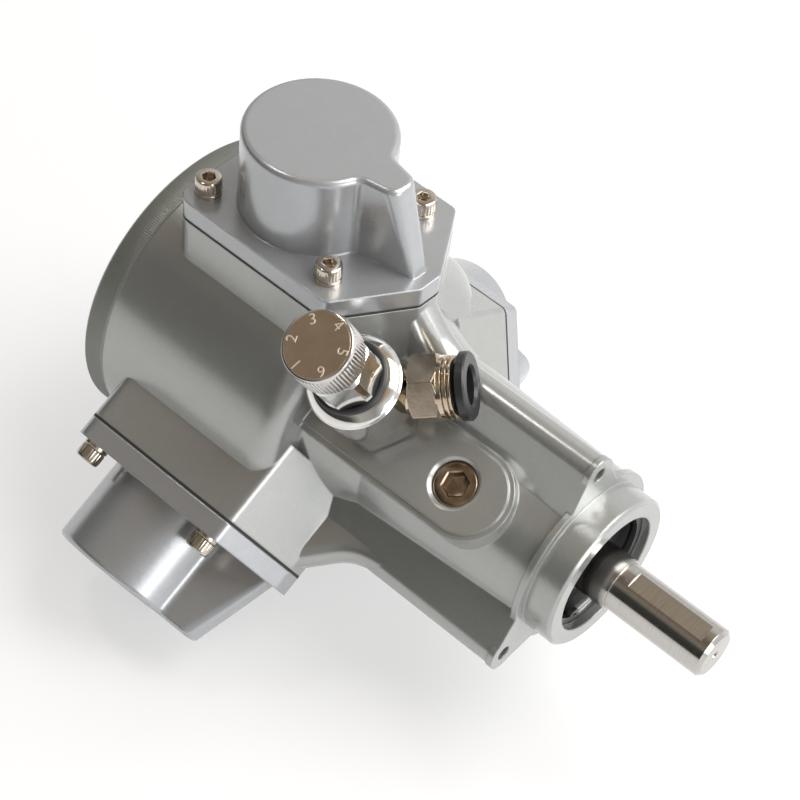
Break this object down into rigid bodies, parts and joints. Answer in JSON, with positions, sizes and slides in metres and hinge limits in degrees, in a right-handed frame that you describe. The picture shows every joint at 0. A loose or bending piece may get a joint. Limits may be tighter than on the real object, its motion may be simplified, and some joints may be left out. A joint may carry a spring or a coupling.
{
  "type": "piston air motor",
  "caption": "Radial piston air motor with a flange-mounted nose, a plain output shaft with a flat, and an inlet speed control valve with a push-in tube fitting.",
  "frame": {"origin": "on the output shaft's axis, in the plane of the mounting flange's face", "axes": "+X along the output shaft towards its free end, +Z from the shaft axis up through the first cylinder, +Y by the right-hand rule"},
  "size_m": [0.1829, 0.1578, 0.137],
  "materials": {
    "case_aluminium": "satin, bead-blasted casting",
    "head_aluminium": "satin, bead-blasted casting",
    "cover_aluminium": "turned, fine straight knurl on the rim",
    "gasket_fibre": "matt",
    "screw_nickel": "bright nickel plate",
    "bearing_steel": "ground and polished",
    "shaft_steel": "ground",
    "seal_rubber": "matt",
    "clip_steel": "spring steel",
    "rotor_bronze": "ground",
    "sleeve_iron": "honed",
    "piston_aluminium": "turned",
    "piston_ring_plastic": "filled sealing plastic",
    "rod_steel": "forged",
    "valve_nickel": "bright nickel plate on brass",
    "release_plastic": "moulded",
    "plug_steel": "nickel plate"
  },
  "bodies": {
    "case": {"crankcase": "case_aluminium", "rear_cover": "cover_aluminium", "cover_ring_seal": "seal_rubber", "cylinder_head_1": "head_aluminium", "cylinder_head_2": "head_aluminium", "cylinder_head_3": "head_aluminium", "head_gasket_1": "gasket_fibre", "head_gasket_2": "gasket_fibre", "head_gasket_3": "gasket_fibre", "head_screws_1": "screw_nickel", "head_screws_2": "screw_nickel", "head_screws_3": "screw_nickel", "front_bearing_outer_ring": "bearing_steel", "rear_bearing_outer_ring": "bearing_steel", "oil_seal": "seal_rubber", "retaining_ring": "clip_steel", "valve_sleeve": "sleeve_iron", "valve_seat_washer": "valve_nickel", "valve_body": "valve_nickel", "valve_bonnet": "valve_nickel", "bonnet_ring_seal": "seal_rubber", "tube_fitting": "valve_nickel", "tube_seal": "seal_rubber", "tube_grip_ring": "bearing_steel", "port_plug": "plug_steel"},
    "crank": {"crankshaft": "shaft_steel", "counterweight": "rod_steel", "crank_pin_ring": "bearing_steel", "rotary_valve": "rotor_bronze", "front_bearing_inner_ring": "bearing_steel", "rear_bearing_inner_ring": "bearing_steel"},
    "front_balls": {"front_bearing_balls": "bearing_steel"},
    "rear_balls": {"rear_bearing_balls": "bearing_steel"},
    "needle": {"needle_spindle": "bearing_steel"},
    "knob": {"throttle_knob": "valve_nickel"},
    "release_ring": {"release_ring": "release_plastic"},
    "piston_1": {"piston_1": "piston_aluminium", "piston_ring_1": "piston_ring_plastic", "wrist_pin_1": "bearing_steel"},
    "rod_1": {"connecting_rod_1": "rod_steel"},
    "piston_2": {"piston_2": "piston_aluminium", "piston_ring_2": "piston_ring_plastic", "wrist_pin_2": "bearing_steel"},
    "rod_2": {"connecting_rod_2": "rod_steel"},
    "piston_3": {"piston_3": "piston_aluminium", "piston_ring_3": "piston_ring_plastic", "wrist_pin_3": "bearing_steel"},
    "rod_3": {"connecting_rod_3": "rod_steel"}
  },
  "joints": [
    {"name": "crank_spin", "type": "hinge", "parent": "case", "child": "crank", "pos_m": [0, 0, 0], "axis": [1, 0, 0], "continuous": true},
    {"name": "front_balls_spin", "type": "hinge", "parent": "case", "child": "front_balls", "pos_m": [0, 0, 0], "axis": [1, 0, 0], "continuous": true},
    {"name": "rear_balls_spin", "type": "hinge", "parent": "case", "child": "rear_balls", "pos_m": [0, 0, 0], "axis": [1, 0, 0], "continuous": true},
    {"name": "piston_1_slide", "type": "slide", "parent": "case", "child": "piston_1", "axis": [0, 0, 1], "range_m": [-0.014, 0]},
    {"name": "rod_1_swing", "type": "hinge", "parent": "piston_1", "child": "rod_1", "pos_m": [-0.0985, 0, 0.062], "axis": [1, 0, 0], "range_deg": [-7.31, 7.31]},
    {"name": "piston_2_slide", "type": "slide", "parent": "case", "child": "piston_2", "axis": [0, -0.866, -0.5], "range_m": [-0.00316, 0.01083]},
    {"name": "rod_2_swing", "type": "hinge", "parent": "piston_2", "child": "rod_2", "pos_m": [-0.0985, -0.04431, -0.02558], "axis": [1, 0, 0], "range_deg": [-13.64, 0.98]},
    {"name": "piston_3_slide", "type": "slide", "parent": "case", "child": "piston_3", "axis": [0, 0.866, -0.5], "range_m": [-0.00316, 0.01083]},
    {"name": "rod_3_swing", "type": "hinge", "parent": "piston_3", "child": "rod_3", "pos_m": [-0.0985, 0.04431, -0.02558], "axis": [1, 0, 0], "range_deg": [-0.98, 13.64]},
    {"name": "needle_lift", "type": "slide", "parent": "case", "child": "needle", "axis": [0, -0.5299, 0.848], "range_m": [-0.00034, 0.00051]},
    {"name": "knob_turn", "type": "hinge", "parent": "needle", "child": "knob", "pos_m": [-0.0573, -0.03813, 0.05754], "axis": [0, -0.5299, 0.848], "range_deg": [-120, 180]},
    {"name": "release_press", "type": "slide", "parent": "case", "child": "release_ring", "axis": [-0.7826, -0.5279, -0.3299], "range_m": [0, 0.0008], "stiffness_N_per_m": 1500}
  ],
  "couplings": [
    {"joint": "front_balls_spin", "follows": "crank_spin", "ratio": 0.384},
    {"joint": "rear_balls_spin", "follows": "crank_spin", "ratio": 0.3842},
    {"joint": "needle_lift", "follows": "knob_turn", "m_per_rad": 0.00015915}
  ]
}
